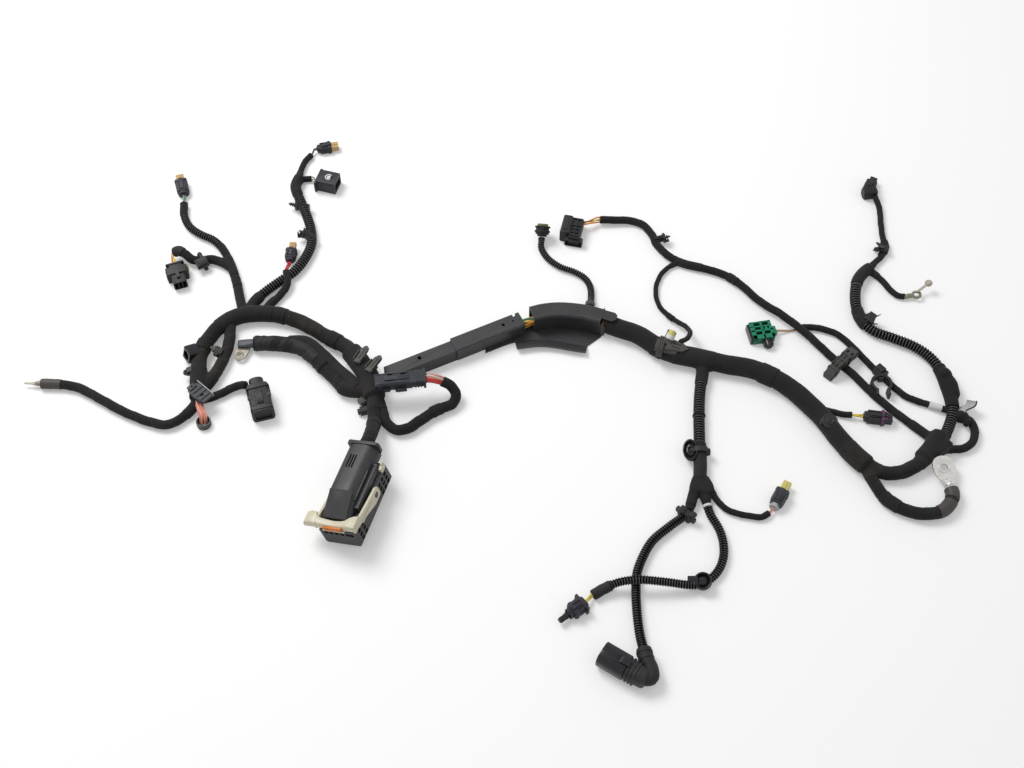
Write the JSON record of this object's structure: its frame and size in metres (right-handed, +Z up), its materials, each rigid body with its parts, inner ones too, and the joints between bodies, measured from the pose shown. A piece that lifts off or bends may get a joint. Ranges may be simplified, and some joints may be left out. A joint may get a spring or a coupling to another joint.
{
  "type": "wiring harness",
  "caption": "Vehicle wiring harness laid out flat: taped and corrugated branches from a rigid cable channel, with connectors, ring terminals and clips on the ends.",
  "frame": {"origin": "middle of the footprint, on the floor that the harness lies on", "axes": "+X to the right of the picture, along the longest extent; +Y away from the viewer; +Z up"},
  "size_m": [1.1847, 0.8197, 0.057],
  "materials": {
    "cloth": "matt black cloth tape, dusty",
    "woven": "woven black sleeve",
    "conduit": "ribbed black tube, satin",
    "plastic": "moulded, fine grain",
    "duct": "moulded, satin",
    "rubber": "matt",
    "lever": "milky, slightly clear",
    "orange": "moulded",
    "green": "moulded",
    "wire": "smooth insulation",
    "tin": "tinned copper, dull",
    "tip": "tan plug fronts",
    "label": "white tape and a bare label"
  },
  "bodies": {
    "harness": {"left_trunk": "cloth", "tail_sleeve": "cloth", "tail_terminal": "tin", "plug_sleeve": "cloth", "elbow_plug": "plastic", "back_sleeve": "cloth", "plate_clip": "plastic", "sealing_cup": "rubber", "stem_conduit": "conduit", "two_pin_plug": "plastic", "fold_sleeve": "cloth", "three_way_plug": "plastic", "upper_conduit": "conduit", "upper_plug": "plastic", "square_plug": "plastic", "inner_sleeve": "cloth", "inner_plug": "plastic", "ring_lead": "cloth", "ring_terminal": "tin", "power_plug": "plastic", "power_loop": "cloth", "ecu_stem": "cloth", "ecu_housing": "plastic", "ecu_cover": "plastic", "left_duct": "duct", "right_duct": "duct", "channel_bundle": "wire", "curved_cover": "duct", "curved_tray": "duct", "sensor_conduit": "conduit", "round_plug": "rubber", "right_trunk": "woven", "trunk_clip": "plastic", "thin_loop": "cloth", "upper_run": "cloth", "wide_plug": "plastic", "second_run": "cloth", "green_plug": "green", "bridge_clip": "plastic", "pipe_clip": "plastic", "down_branch": "conduit", "lower_conduit": "conduit", "oval_plug": "plastic", "cross_conduit": "conduit", "lower_plug": "plastic", "short_sleeve": "cloth", "yellow_tip_plug": "plastic", "side_lead": "cloth", "side_plug": "plastic", "right_arm": "cloth", "lug_lead": "cloth", "battery_lug": "tin", "right_conduit": "conduit", "right_loop": "cloth", "top_lead": "cloth", "top_plug": "plastic", "ground_lead": "cloth", "ground_terminal": "tin"},
    "lever": {"ecu_lever": "lever", "ecu_lock_slide": "orange"}
  },
  "joints": [
    {"name": "lever_swing", "type": "hinge", "parent": "harness", "child": "lever", "pos_m": [-0.16613, -0.17817, 0.02763], "axis": [-0.9142, 0.297, -0.2756], "range_deg": [0, 75]}
  ]
}
